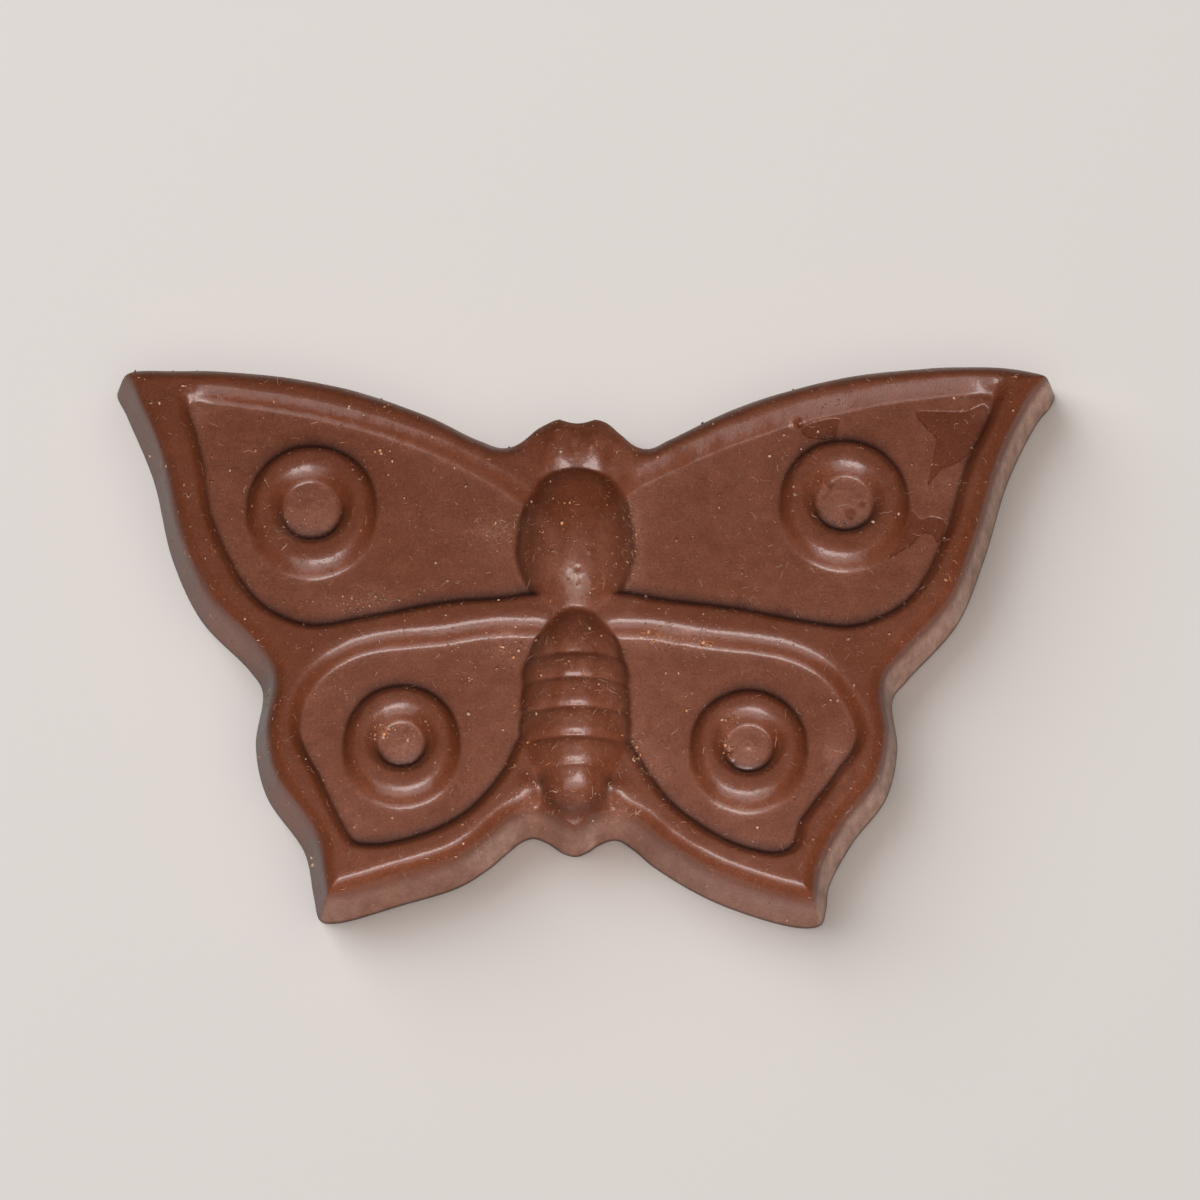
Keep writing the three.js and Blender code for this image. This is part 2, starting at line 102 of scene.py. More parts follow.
# The outline of the wings and head at table level, anticlockwise between the two notches
# beside the tail, then the rounded end of the tail.
WINGS = (
    (2.5, -17.0), (3.9, -17.8), (5.8, -19.4), (11.0, -22.4), (18.0, -24.5), (19.7, -24.2),
    (20.1, -23.0), (20.4, -21.0), (22.3, -17.4), (25.3, -13.4), (26.3, -9.2), (26.0, -4.8),
    (27.2, -3.2), (31.6, 1.8), (34.0, 7.5), (36.2, 14.5), (38.8, 19.7), (40.05, 21.3),
    (40.35, 22.3), (39.6, 23.15), (38.0, 23.65), (35.0, 24.1), (27.5, 23.9), (20.1, 22.8),
    (12.6, 20.5), (6.4, 17.5), (4.9, 16.85), (3.9, 17.6), (2.5, 18.8), (0.7, 19.3), (-0.8, 18.95),
    (-2.4, 19.3), (-4.7, 18.4), (-6.8, 16.95), (-8.6, 17.5), (-13.3, 19.8), (-20.4, 22.2),
    (-28.0, 23.5), (-35.0, 23.8), (-39.1, 23.6), (-40.5, 22.5), (-39.6, 20.3), (-37.2, 14.6),
    (-35.4, 7.5), (-32.8, 2.1), (-28.6, -2.3), (-27.5, -4.1), (-28.0, -8.8), (-27.0, -13.2),
    (-23.7, -18.1), (-22.9, -21.8), (-22.3, -23.9), (-21.0, -24.1), (-15.6, -22.6),
    (-10.6, -21.0), (-8.1, -19.4), (-6.5, -18.0), (-5.5, -17.2), (-4.5, -16.85),
)
TAIL_END = ((-3.3, -17.25), (-2.0, -18.1), (-0.9, -18.4), (0.2, -18.0), (1.1, -17.4))
UNDER_TAIL = (-1.0, -15.3)
FIELDS = (
    (
        (-33.8, 19.3), (-32.5, 14.7), (-31.5, 9.4), (-28.1, 2.7), (-23.4, 0.1), (-18.2, 0.9),
        (-12.3, 2.0), (-6.0, 2.6), (-3.0, 3.6), (-2.6, 7.6), (-4.6, 10.0), (-8.0, 12.6),
        (-14.0, 15.6), (-21.0, 17.9), (-28.0, 19.2), (-33.6, 19.7),
    ),
    (
        (34.5, 19.7), (33.9, 20.1), (26.5, 19.5), (19.8, 18.1), (13.0, 15.9), (7.4, 13.4),
        (3.8, 11.5), (1.2, 7.8), (1.6, 3.6), (5.0, 2.6), (12.9, 1.5), (18.6, 0.3),
        (22.4, 0.0), (27.0, 2.3), (30.2, 8.0), (32.1, 13.9),
    ),
    (
        (-3.2, -1.2), (-5.6, -0.7), (-12.0, -1.4), (-19.0, -2.4), (-22.7, -4.9),
        (-24.0, -9.0), (-22.0, -13.2), (-19.8, -17.7), (-19.0, -18.5), (-15.5, -18.4),
        (-10.5, -16.3), (-7.2, -12.8), (-5.4, -9.4), (-3.2, -6.6),
    ),
    (
        (1.6, -1.2), (4.2, -0.8), (9.5, -1.6), (16.6, -2.7), (20.4, -4.9), (22.5, -9.6),
        (20.5, -13.0), (17.7, -16.9), (17.0, -18.9), (16.0, -19.4), (11.9, -18.4),
        (7.0, -15.0), (3.7, -10.2), (1.6, -6.6),
    ),
)
# Eyespots: x, y, inner and outer radius of the bead, radius of the button.
EYESPOTS = (
    (-23.2, 10.3, 2.65, 5.45, 2.4),
    (21.8, 10.9, 2.55, 5.4, 2.35),
    (-15.4, -9.95, 2.05, 4.8, 1.9),
    (13.5, -10.35, 2.1, 4.8, 1.95),
)
# How each button's edge is bitten: direction of the bite, its depth, raggedness all round, and
# how steep the edge is.
BUTTON_BITES = (
    (-2.4, 0.15, 0.12, 1.1), (2.55, 0.7, 0.25, 2.0), (2.9, 0.25, 0.25, 0.8),
    (3.0, 0.25, 0.28, 1.5),
)
BITE_HALF_TURN = 0.6
# The body: place along Y, half width, height of the crest.
THORAX = (
    (13.6, 0.9, 6.0), (13.2, 2.6, 7.9), (12.4, 3.7, 9.0), (10.8, 4.5, 9.5),
    (8.6, 5.0, 9.9), (6.3, 5.2, 9.95), (4.8, 4.9, 9.75), (3.4, 4.3, 9.2),
    (2.2, 3.5, 8.4), (1.2, 2.6, 7.7), (-0.4, 0.9, 6.6),
)
ABDOMEN = (
    (1.9, 0.6, 6.0), (1.0, 1.9, 7.8), (0.0, 2.9, 8.6), (-1.6, 3.9, 9.25),
    (-3.6, 4.55, 9.7), (-6.2, 4.7, 9.85), (-8.7, 4.85, 9.75), (-10.8, 4.75, 9.6),
    (-12.1, 4.3, 9.45), (-13.0, 3.8, 9.25), (-14.2, 3.6, 8.7), (-15.5, 3.3, 7.6),
    (-16.8, 2.8, 6.4), (-18.8, 2.1, 4.9),
)
# Place of each groove between the abdomen's rings, and its depth.
GROOVES = (
    (1.9, 0.0), (-2.95, 0.5), (-5.1, 0.3), (-7.6, 0.32), (-10.1, 0.32), (-12.5, 0.2),
    (-18.8, 0.0),
)
# The head's ellipsoid caps: x, y, half length along X, half length along Y, top.
HEAD_CAPS = (
    (-0.7, 15.4, 6.2, 4.8, 8.4),
    (-2.3, 15.6, 2.5, 3.6, 8.6),
    (0.7, 15.6, 2.5, 3.6, 8.6),
)

# Places where a thin skin of chocolate stayed in the mould: the sunk spot is darker, smooth
# and sharply edged.
SKIN_DEPTH = 0.035
SKIN_EDGE = 0.03
SKINS = (
    (
        (28.0, 18.9), (28.9, 17.4), (29.6, 16.6), (29.4, 15.0), (29.1, 13.6), (28.9, 12.5),
        (30.1, 13.9), (30.9, 14.2), (32.1, 14.9), (33.2, 16.3), (34.2, 18.3), (33.8, 19.5),
        (32.2, 19.0), (29.9, 19.0),
    ),
    (
        (27.5, 10.2), (28.2, 9.5), (29.1, 9.7), (30.2, 9.3), (30.0, 7.9), (29.6, 7.4),
        (29.2, 8.1), (28.3, 8.2), (27.6, 7.4), (26.4, 6.6), (25.5, 6.1), (26.5, 7.4),
        (27.2, 8.9),
    ),
    (
        (18.2, 17.3), (18.8, 17.8), (21.4, 18.3), (21.2, 17.3), (21.0, 16.5), (19.9, 16.5),
        (18.7, 16.7),
    ),
)
SKIN_SPOTS = ((22.3, 9.9, 0.5), (23.3, 10.7, 0.3), (18.1, 17.9, 0.3), (20.6, 12.5, 0.35))
# Single bumps and pits: x, y, radius, height.
MARKS = (
    (13.56, -10.1, 0.42, 0.2), (13.56, -10.1, 0.2, -0.16),  # a nub with a dimple
    (11.95, -10.7, 0.17, -0.3), (11.7, -9.4, 0.12, -0.15), (12.3, -11.6, 0.12, -0.15),
    (21.3, 11.95, 0.1, 0.07), (21.55, 11.93, 0.1, 0.07), (21.8, 11.95, 0.1, 0.07),
    (22.05, 12.0, 0.1, 0.07),  # a row of bubbles
    (18.07, 17.85, 0.28, -0.2), (17.5, 17.75, 0.22, 0.12), (0.3, 5.6, 0.22, 0.1),
    (-0.7, 4.2, 0.15, -0.12), (-0.6, 2.9, 0.15, -0.12), (-26.1, -13.2, 0.16, -0.4),
    (-0.9, 15.8, 0.3, 0.08), (0.4, 15.2, 0.35, 0.09), (-3.2, 15.4, 0.3, 0.07),
    (-5.0, -13.9, 0.8, 0.2), (2.6, -14.1, 0.8, 0.24),  # where the hind rims meet the body
    (-2.4, 16.6, 0.5, 0.07), (-1.2, 15.0, 0.4, -0.06), (1.7, 15.7, 0.5, 0.07),
    (-4.0, 16.2, 0.6, 0.08), (0.3, 16.5, 0.4, -0.05), (3.0, 15.4, 0.5, 0.07),
    (33.9, 19.7, 1.1, 0.36), (34.8, 21.2, 0.8, -0.2),  # filled corners of the fore fields
    (-33.3, 19.5, 1.0, 0.34), (-33.9, 21.0, 0.8, -0.2),
    (23.3, 11.0, 0.5, 0.05), (20.6, 9.9, 0.4, 0.05), (-23.5, 10.4, 0.6, 0.05),
    (-15.2, -10.0, 0.3, 0.08), (-14.9, -9.3, 0.35, 0.07),
)
# Pale, scuffed spots: x, y, half sizes along X and Y, strength.
SCUFFS = (
    (3.9, 7.2, 0.8, 4.6, 0.9), (-7.6, 8.5, 2.4, 1.2, 0.55), (-6.4, -1.6, 2.0, 1.6, 0.6),
    (7.4, -1.1, 3.6, 0.9, 0.6), (-0.7, 15.2, 5.2, 2.2, 0.3), (4.3, -10.6, 0.7, 1.6, 0.7),
    (5.6, -12.2, 1.2, 1.2, 0.4), (20.8, -11.4, 1.0, 1.9, 0.65), (30.0, 12.4, 1.6, 1.5, 0.5),
    (-19.0, 2.2, 3.4, 1.4, 0.35), (-16.4, -9.6, 1.1, 1.7, 0.9), (-24.3, 8.7, 1.6, 1.0, 0.8),
    (12.1, -9.9, 0.8, 2.1, 0.6), (-1.0, -7.0, 4.4, 8.0, 0.3), (-0.8, 4.0, 1.9, 3.0, 0.3),
    (20.2, 11.6, 0.8, 0.9, 0.7), (22.2, 10.7, 2.0, 2.0, 0.3), (-4.6, -15.6, 1.2, 1.2, 0.5),
    (2.9, -15.6, 1.4, 1.2, 0.6),
)
# Crumbs: x, y, half sizes along X and Y, how many, share of orange ones.
CRUMB_PLACES = (
    (5.6, -0.6, 1.7, 0.6, 80, 0.8), (10.0, -1.45, 1.2, 0.3, 36, 0.9),
    (7.8, -1.1, 2.0, 0.5, 30, 0.6), (-6.4, -1.6, 1.9, 1.6, 60, 0.7),
    (-19.5, -0.7, 0.9, 0.4, 8, 0.6), (-11.1, -1.5, 0.7, 0.6, 10, 0.6),
    (-9.8, -4.5, 1.0, 0.5, 12, 0.2), (-17.1, -9.0, 0.8, 0.9, 46, 0.6),
    (-15.1, -9.3, 0.6, 0.5, 8, 0.4), (12.0, -8.0, 0.6, 0.9, 24, 0.6),
    (11.7, -10.3, 0.3, 1.4, 22, 0.4), (21.4, 13.0, 0.5, 0.2, 5, 0.8),
    (19.7, 11.8, 0.3, 0.9, 10, 0.5), (21.5, 8.7, 1.4, 0.4, 10, 0.5),
    (17.4, 17.7, 0.3, 0.3, 5, 0.4), (-17.5, 15.5, 0.3, 0.3, 6, 0.6),
    (-20.2, 19.1, 0.2, 0.3, 3, 0.2), (-7.4, 8.4, 2.2, 1.1, 24, 0.3),
    (4.2, -10.5, 0.5, 1.2, 24, 0.7), (5.4, -12.2, 1.0, 0.9, 14, 0.4),
    (-19.3, 2.2, 3.0, 1.3, 50, 0.2), (-24.2, 8.6, 1.7, 0.9, 26, 0.1),
    (21.9, 13.2, 5.0, 0.3, 6, 0.3), (3.9, 7.0, 0.6, 4.5, 34, 0.3),
    (-34.4, 20.9, 1.0, 0.6, 8, 0.1), (-1.0, 6.0, 4.4, 7.0, 60, 0.3),
    (-1.0, -8.0, 4.2, 8.0, 70, 0.4), (2.6, -15.3, 1.2, 1.2, 16, 0.3),
    (-30.3, 13.2, 4.5, 8.0, 40, 0.3), (17.0, -1.0, 6.0, 1.5, 14, 0.3),
    (-13.0, -20.0, 8.0, 1.5, 24, 0.3),
)
CRUMBS_ANYWHERE = 1100
CURLS_ANYWHERE = 3200
# Denser scrapings: x, y, half sizes along X and Y, how many.
CURL_PLACES = (
    (-7.6, 8.5, 2.3, 1.2, 90), (3.9, 7.2, 0.6, 4.6, 60), (-6.4, -1.6, 2.0, 1.6, 60),
    (7.4, -1.0, 3.4, 0.9, 60), (-19.0, 2.4, 3.2, 1.6, 60), (-1.0, 3.2, 2.4, 2.2, 50),
    (-24.2, 9.0, 1.9, 1.5, 30), (-1.0, -8.0, 4.2, 8.0, 130), (12.6, -9.8, 1.6, 2.0, 30),
    (-16.0, -9.6, 1.6, 1.7, 30), (3.0, -15.6, 1.6, 1.6, 36), (-4.8, -15.6, 1.6, 1.6, 24),
    (14.0, 4.0, 3.0, 2.6, 40), (-0.8, 15.5, 5.0, 2.0, 40), (6.0, -12.0, 2.0, 1.6, 24),
)
# Chips bigger than a crumb, on the walls and banks: x, y, radius, share of orange.
CHIPS = (
    (-22.9, -19.5, 0.24, 0), (-23.0, -18.9, 0.15, 0), (-16.9, -9.2, 0.16, 1),
    (-16.5, -8.8, 0.12, 1), (5.2, -0.5, 0.16, 1), (6.1, -0.8, 0.14, 1), (4.6, -0.9, 0.13, 0),
    (9.8, -1.4, 0.16, 1), (10.4, -1.6, 0.15, 1), (-7.0, -1.7, 0.15, 0), (-6.1, -2.6, 0.14, 1),
    (4.2, -10.3, 0.15, 1), (4.5, -11.0, 0.13, 1), (17.45, 17.75, 0.17, 1), (-17.5, 15.5, 0.17, 1),
    (26.3, 9.6, 0.1, 0),
)

# ---- Curves and distances ----

CURVE_STEP = 0.1  # between the points of the exact curves
KNOT_STEPS = 40  # evaluated between two knots before the curve is divided evenly


def closed_curve(knots, step):
    """Points at even steps along the centripetal Catmull-Rom curve through the knots."""
    knots = np.array(knots, float)
    before, after, later = (np.roll(knots, shift, 0) for shift in (1, -1, -2))

    def interval(a, b):
        return np.sqrt(np.linalg.norm(b - a, axis=1))[:, None]

    d0, d1, d2 = interval(before, knots), interval(knots, after), interval(after, later)
    leave = d1 * ((knots - before) / d0 - (after - before) / (d0 + d1) + (after - knots) / d1)
    arrive = d1 * ((after - knots) / d1 - (later - knots) / (d1 + d2) + (later - after) / d2)
    t = np.linspace(0, 1, KNOT_STEPS, endpoint=False)[:, None, None]
    bend = 3 * (after - knots) - 2 * leave - arrive
    twist = 2 * (knots - after) + leave + arrive
    fine = knots + t * (leave + t * (bend + t * twist))
    fine = fine.transpose(1, 0, 2).reshape(-1, 2)
    closed = np.vstack([fine, fine[:1]])
    run = np.concatenate([[0], np.cumsum(np.linalg.norm(np.diff(closed, axis=0), axis=1))])
    places = np.linspace(0, run[-1], round(run[-1] / step), endpoint=False)
    return np.stack([np.interp(places, run, closed[:, k]) for k in (0, 1)], 1)


def inward_normals(loop):
    along = np.roll(loop, -1, 0) - np.roll(loop, 1, 0)
    along /= np.linalg.norm(along, axis=1)[:, None]
    x, y = loop.T
    area = np.sum(x * np.roll(y, -1) - y * np.roll(x, -1))
    return np.stack([-along[:, 1], along[:, 0]], 1) * np.sign(area)


class Loop:
    """A closed curve that gives the distance of points from it, positive inside."""

    def __init__(self, knots):
        self.points = closed_curve(knots, CURVE_STEP)
        self.normals = inward_normals(self.points)
        self.tree = KDTree(len(self.points))
        for i, (x, y) in enumerate(self.points):
            self.tree.insert((x, y, 0), i)
        self.tree.balance()

    def edge(self, xy):
        """The inset of points, and the inward direction of the curve's nearest piece."""
        nearest = np.array([self.tree.find((x, y, 0))[1] for x, y in xy])
        offset = xy - self.points[nearest]
        inward = self.normals[nearest]
        across = np.sum(offset * inward, 1)
        sides = []
        for step in (-1, 1):
            end = self.points[(nearest + step) % len(self.points)]
            edge = end - self.points[nearest]
            t = np.clip(np.sum(offset * edge, 1) / np.sum(edge * edge, 1), 0, 1)
            sides.append(np.linalg.norm(offset - t[:, None] * edge, axis=1))
        return np.minimum(*sides) * np.where(across < 0, -1, 1), inward

    def inset(self, xy):
        return self.edge(xy)[0]


OUTLINE = Loop(WINGS + TAIL_END)
WING_RIM = Loop(WINGS + (UNDER_TAIL,))
FIELD_LOOPS = [Loop(field) for field in FIELDS]
SKIN_LOOPS = [Loop(skin) for skin in SKINS]

# ---- Noise that gives the same numbers each run ----


def lattice(x, y, seed):
    """A fixed random number between -1 and 1 for each whole x, y."""
    mixed = np.sin(x * 127.1 + y * 311.7 + seed * 74.7) * 43758.5453
    return (mixed - np.floor(mixed)) * 2 - 1


def noise(xy, scale, seed):
    """Smooth noise between about -1 and 1, with bumps of the given size."""
    x, y = (xy / scale).T
    x0, y0 = np.floor(x), np.floor(y)
    u, v = x - x0, y - y0
    u, v = (w * w * w * (w * (w * 6 - 15) + 10) for w in (u, v))
    low = lattice(x0, y0, seed) * (1 - u) + lattice(x0 + 1, y0, seed) * u
    high = lattice(x0, y0 + 1, seed) * (1 - u) + lattice(x0 + 1, y0 + 1, seed) * u
    return low * (1 - v) + high * v


def rough_noise(xy, scale, seed, octaves=3):
    return sum(noise(xy, scale / 2**k, seed + 17 * k) / 2**k for k in range(octaves))


# ---- Height of the upper side ----


def smooth_max(a, b, width):
    overlap = np.maximum(width - np.abs(a - b), 0) / width
    return np.maximum(a, b) + overlap * overlap * width / 4


def smooth_min(a, b, width):
    return -smooth_max(-a, -b, width)


def smooth_step(low, high, value):
    t = np.clip((value - low) / (high - low), 0, 1)
    return t * t * (3 - 2 * t)


def station_at(stations, y, column):
    """Smooth curve through stations (place, value, value, ...), listed from +Y to -Y."""
    table = np.array(stations)[::-1]
    places, values = table[:, 0], table[:, column]
    slopes = np.gradient(values, places)
    slopes[1:-1] = (values[2:] - values[:-2]) / (places[2:] - places[:-2])
    i = np.clip(np.searchsorted(places, y) - 1, 0, len(places) - 2)
    span = places[i + 1] - places[i]
    t = np.clip((y - places[i]) / span, 0, 1)
    rise = (values[i + 1] - values[i]) * t * t * (3 - 2 * t)
    leave = slopes[i] * span * t * (1 - t) ** 2
    arrive = slopes[i + 1] * span * t * t * (t - 1)
    return values[i] + rise + leave + arrive


def dome(reach_squared):
    rest = 1 - reach_squared
    return np.sign(rest) * np.abs(rest) ** BODY_ROUNDNESS


def groove_depth(y):
    places, depths = np.array(GROOVES)[::-1].T
    i = np.clip(np.searchsorted(places, y) - 1, 0, len(places) - 2)
    across = 1 - 2 * (y - places[i]) / (places[i + 1] - places[i])
    depth = np.where(across < 0, depths[i + 1], depths[i])
    return depth * np.abs(np.clip(across, -1, 1)) ** 3


def stationed_body(stations, x, y, groove):
    half_width = station_at(stations, y, 1) - groove * GROOVE_PINCH
    crest = station_at(stations, y, 2) - groove
    reach = (x - BODY_AXIS_X) / half_width
    height = crest - np.maximum(crest - BODY_ROOT, BODY_DEPTH) * (1 - dome(reach * reach))
    between = (y <= stations[0][0]) & (y >= stations[-1][0])
    return np.where(between, height, 0.0)


def head_height(x, y):
    height = np.zeros_like(x)
    for cap_x, cap_y, half_x, half_y, top in HEAD_CAPS:
        reach = ((x - cap_x) / half_x) ** 2 + ((y - cap_y) / half_y) ** 2
        cap = BODY_ROOT + (top - BODY_ROOT) * dome(reach)
        height = smooth_max(height, cap, BODY_FILLET)
    return height


def body_height(x, y):
    thorax = stationed_body(THORAX, x, y, 0)
    abdomen = stationed_body(ABDOMEN, x, y, groove_depth(y))
    height = smooth_max(thorax, abdomen, BODY_FILLET)
    return smooth_max(height, head_height(x, y), BODY_FILLET)


def bank_height(gap, front, drop, front_foot=BANK_FRONT_FOOT, front_run=0):
    """Rise of a bank at a distance up from its foot. front is 1 where it faces -Y."""
    foot = BANK_FOOT + (front_foot - BANK_FOOT) * np.maximum(front, 0)
    run = BANK_RUN + BANK_RUN_TURN * front + front_run * np.maximum(front, 0)
    slope = 2 * drop / (foot + run)
    hollow = slope * np.maximum(gap + foot, 0) ** 2 / (2 * foot)
    up = np.clip(gap, 0, run)
    return np.where(gap < 0, hollow, slope * (foot / 2 + up - up * up / (2 * run)))


def rim_height(inset, field_edges):
    outer = (RIM_CREST_INSET - inset) / (RIM_CREST_INSET - WALL_TOP_INSET)
    outer = np.clip(outer, 0, 1)
    height = RIM_LEVEL - RIM_OUTER_DROP * (1 - np.sqrt(1 - outer * outer))
    height = height - np.maximum(WALL_TOP_INSET - inset, 0) * RIM_APRON
    for (field_inset, inward), front_bank in zip(field_edges, FRONT_BANKS):
        front = -inward[:, 1]
        gap = -field_inset - RIM_FRONT_SHIFT * np.maximum(front, 0)
        bank = bank_height(gap, front, RIM_LEVEL - FIELD_LEVEL, *front_bank)
        height = smooth_min(height, FIELD_LEVEL + bank, RIM_FILLET)
    return height


def eyespot_height(eye, bite, x, y):
    eye_x, eye_y, bead_inner, bead_outer, button_radius = eye
    direction, depth, ragged, steepness = bite
    turn = np.angle(np.exp(1j * (np.arctan2(y - eye_y, x - eye_x) - direction)))
    at_bite = np.exp(-((turn / BITE_HALF_TURN) ** 2))
    xy = np.stack([x, y], 1)
    jagged = noise(xy, 0.45, 41) + 0.6 * noise(xy, 0.2, 42)
    button_radius = button_radius - depth * at_bite + ragged * (0.25 + at_bite) * jagged * 0.5
    radius = np.hypot(x - eye_x, y - eye_y) + 1e-9
    front = (eye_y - y) / radius
    outer_gap = bead_outer + EYE_FRONT_SHIFT * np.maximum(front, 0) - radius
    outer = bank_height(outer_gap, front, EYE_BEAD_HEIGHT)
    inner = bank_height(radius - bead_inner, -front, EYE_BEAD_HEIGHT)
    cap = EYE_BUTTON_HEIGHT * (1 - 0.5 * (radius / button_radius) ** 2)
    button = smooth_min(cap, (button_radius - radius) * steepness, EYE_FILLET)
    return FIELD_LEVEL + smooth_max(smooth_min(outer, inner, EYE_FILLET), button, EYE_FILLET)


def field_gap_of(xy):
    return -np.max([loop.inset(xy) for loop in FIELD_LOOPS], 0)


WARPS = ((4.5, 0.07), (1.3, 0.025))  # size of the bends, and how far they shift the relief
# Size of the lumps, and their height.
SWELL = (5.0, 0.03)
RIPPLE = (0.9, 0.006)
BODY_LUMPS = (1.7, 0.05)
BODY_DIMPLES = (0.6, 0.022)
BUTTON_LUMPS = (0.45, 0.02)
SCUFF_LUMPS = (0.35, 0.025)
WALL_WAVES = (2.5, 0.03)


def warped(xy):
    """The relief isn't quite regular: its edges wander a little."""
    shifts = [
        amount * np.stack([noise(xy, size, 31), noise(xy, size, 32)], 1)
        for size, amount in WARPS
    ]
    return xy + sum(shifts)


def spot(x, y, place):
    """1 at the middle of a soft elliptic spot, 0 well outside it."""
    reach = ((x - place[0]) / place[2]) ** 2 + ((y - place[1]) / place[3]) ** 2
    return np.exp(-reach)


def skin_of(xy):
    insets = [loop.inset(xy) for loop in SKIN_LOOPS]
    insets += [radius - np.hypot(*(xy - (x, y)).T) for x, y, radius in SKIN_SPOTS]
    return smooth_step(-SKIN_EDGE / 2, SKIN_EDGE / 2, np.max(insets, 0))


def lumps(xy, kind, seed):
    size, height = kind
    return height * noise(xy, size, seed)


def unevenness(xy, body):
    """Waves, lumps and pits on the moulded form."""
    x, y = xy.T
    height = SWELL[1] * rough_noise(xy, SWELL[0], 1) + lumps(xy, RIPPLE, 2)
    height += smooth_step(6.5, 8, body) * (lumps(xy, BODY_LUMPS, 5) + lumps(xy, BODY_DIMPLES, 6))
    for mark_x, mark_y, radius, rise in MARKS:
        height += rise * spot(x, y, (mark_x, mark_y, radius, radius))
    for eye_x, eye_y, bead_inner, bead_outer, button_radius in EYESPOTS:
        radius = np.hypot(x - eye_x, y - eye_y)
        height += lumps(xy, BUTTON_LUMPS, 8) * smooth_step(button_radius, 0, radius)
    scuffed = np.max([p[4] * spot(x, y, p) for p in SCUFFS], 0)
    return height + scuffed * lumps(xy, SCUFF_LUMPS, 9) - SKIN_DEPTH * skin_of(xy)


def surface_height(xy, inset):
    moved = warped(xy)
    x, y = moved.T
    top = rim_height(WING_RIM.inset(moved), [loop.edge(moved) for loop in FIELD_LOOPS])
    for eye, bite in zip(EYESPOTS, BUTTON_BITES):
        top = smooth_max(top, eyespot_height(eye, bite, x, y), EYE_FILLET)
    body = body_height(x, y)
    top = smooth_max(top, body, BODY_FILLET) + unevenness(xy, body)
    wall = inset * WALL_SLOPE * (1 + lumps(xy, WALL_WAVES, 12) * smooth_step(0, 0.5, inset))
    return smooth_min(top, wall, WALL_ROUND)


# ---- The mesh ----

WALL_INSETS = (0.12, 0.28, 0.45, 0.62, 0.8, 0.97, 1.12, 1.25, 1.36, 1.46, 1.56, 1.66, 1.78)
WALL_COLUMN = 0.2
GRID_STEP = 0.16  # between points where the form bends
GRID_MARGIN = 1.86  # inset at which the grid takes over from the rings of the wall
SKIN_COLUMN = 0.12
COARSE_EVERY = 2  # on the flats only one grid point in this many, each way, is kept
CDT_INSIDE = 1
CDT_EPSILON = 1e-6


def wall_points():
    loop = closed_curve(WINGS + TAIL_END, WALL_COLUMN)
    normals = inward_normals(loop)
    rings = []
    for inset in WALL_INSETS:
        ring = loop + normals * inset
        rings.append(ring[OUTLINE.inset(ring) > inset - 0.01])
    return loop, np.vstack(rings)


def grid_points():
    (low_x, low_y), (high_x, high_y) = OUTLINE.points.min(0), OUTLINE.points.max(0)
    row_step = GRID_STEP * math.sin(math.pi / 3)
    rows, columns = np.mgrid[0 : (high_y - low_y) / row_step, 0 : (high_x - low_x) / GRID_STEP]
    x = low_x + (columns + (rows // COARSE_EVERY % 2) / 2 * COARSE_EVERY) * GRID_STEP
    x += (rows % COARSE_EVERY) / 2 * GRID_STEP
    xy = np.stack([x, low_y + rows * row_step], -1).reshape(-1, 2)
    coarse = ((rows % COARSE_EVERY == 0) & (columns % COARSE_EVERY == 0)).ravel()
    inset = OUTLINE.inset(xy)
    keep = inset > GRID_MARGIN
    xy, coarse = xy[keep], coarse[keep]
    field_gap = field_gap_of(xy)
    near_skin = np.max([loop.inset(xy) for loop in SKIN_LOOPS], 0) > -0.3
    reach = np.min([np.hypot(*(xy - e[:2]).T) - e[3] for e in EYESPOTS], 0)
    x, y = xy.T
    on_body = body_height(x, y) > FIELD_LEVEL - 0.5
    flat = (field_gap < -1) & (reach > 1) & ~on_body & ~near_skin
    return xy[coarse | ~flat]


def skin_points():
    """Two lines of points close beside the edge of each skin, for a sharp step."""
    lines = []
    for skin in SKINS:
        loop = closed_curve(skin, SKIN_COLUMN)
        normals = inward_normals(loop)
        lines += [loop + normals * SKIN_EDGE * side for side in (-0.5, 0.5)]
    points = np.vstack(lines)
    return points[OUTLINE.inset(points) > GRID_MARGIN]


def triangulate():
    """Triangles over the outline: points in plan, faces, and how many points are its edge."""
    edge, walls = wall_points()
    points = np.vstack([edge, walls, grid_points(), skin_points()])
    border = [list(range(len(edge)))]
    vectors = [Vector(p) for p in points.tolist()]
    found = delaunay_2d_cdt(vectors, [], border, CDT_INSIDE, CDT_EPSILON)
    return np.array([v[:] for v in found[0]]), found[2], len(edge)


def new_object(name, points, faces):
    mesh = bpy.data.meshes.new(name)
    mesh.from_pydata((points * MM).tolist(), [], faces)
    mesh.validate()
    mesh.shade_smooth()
    piece = bpy.data.objects.new(name, mesh)
    bpy.context.scene.collection.objects.link(piece)
    return piece


def paint(piece, name, values):
    layer = piece.data.attributes.new(name, "FLOAT", "POINT")
    layer.data.foreach_set("value", np.asarray(values, np.float32))


# Painted shade: the colour is darkened in the creases at the foot of banks, beads and body.
CREASE_CORE, CREASE_SPREAD = 0.28, 0.8  # half widths of the dark line and its soft edge
SPREAD_SHARE = 0.3
SIDE_SHADE = 0.32  # darkness of the creases that run along Y
# Levels on the body round which painted shade darkens it, their half widths, and how dark.
BESIDE_BODY = (6.3, 0.9, 1.0)
TAIL_SIDES = (7.2, 0.7, 1.0)
THORAX_FLANKS = (7.7, 0.8, 0.45)
BODY_SHADE = 0.8


def shade_line(across, back):
    """Painted shade beside a foot line, strongest where its bank faces +Y, away from the front
    lamps. back is 1 where its bank faces +Y.
    """
    core = np.exp(-((across / CREASE_CORE) ** 2))
    line = core + SPREAD_SHARE * np.exp(-((across / CREASE_SPREAD) ** 2))
    return line * np.clip(SIDE_SHADE + (1 - SIDE_SHADE) * back, 0, 1)


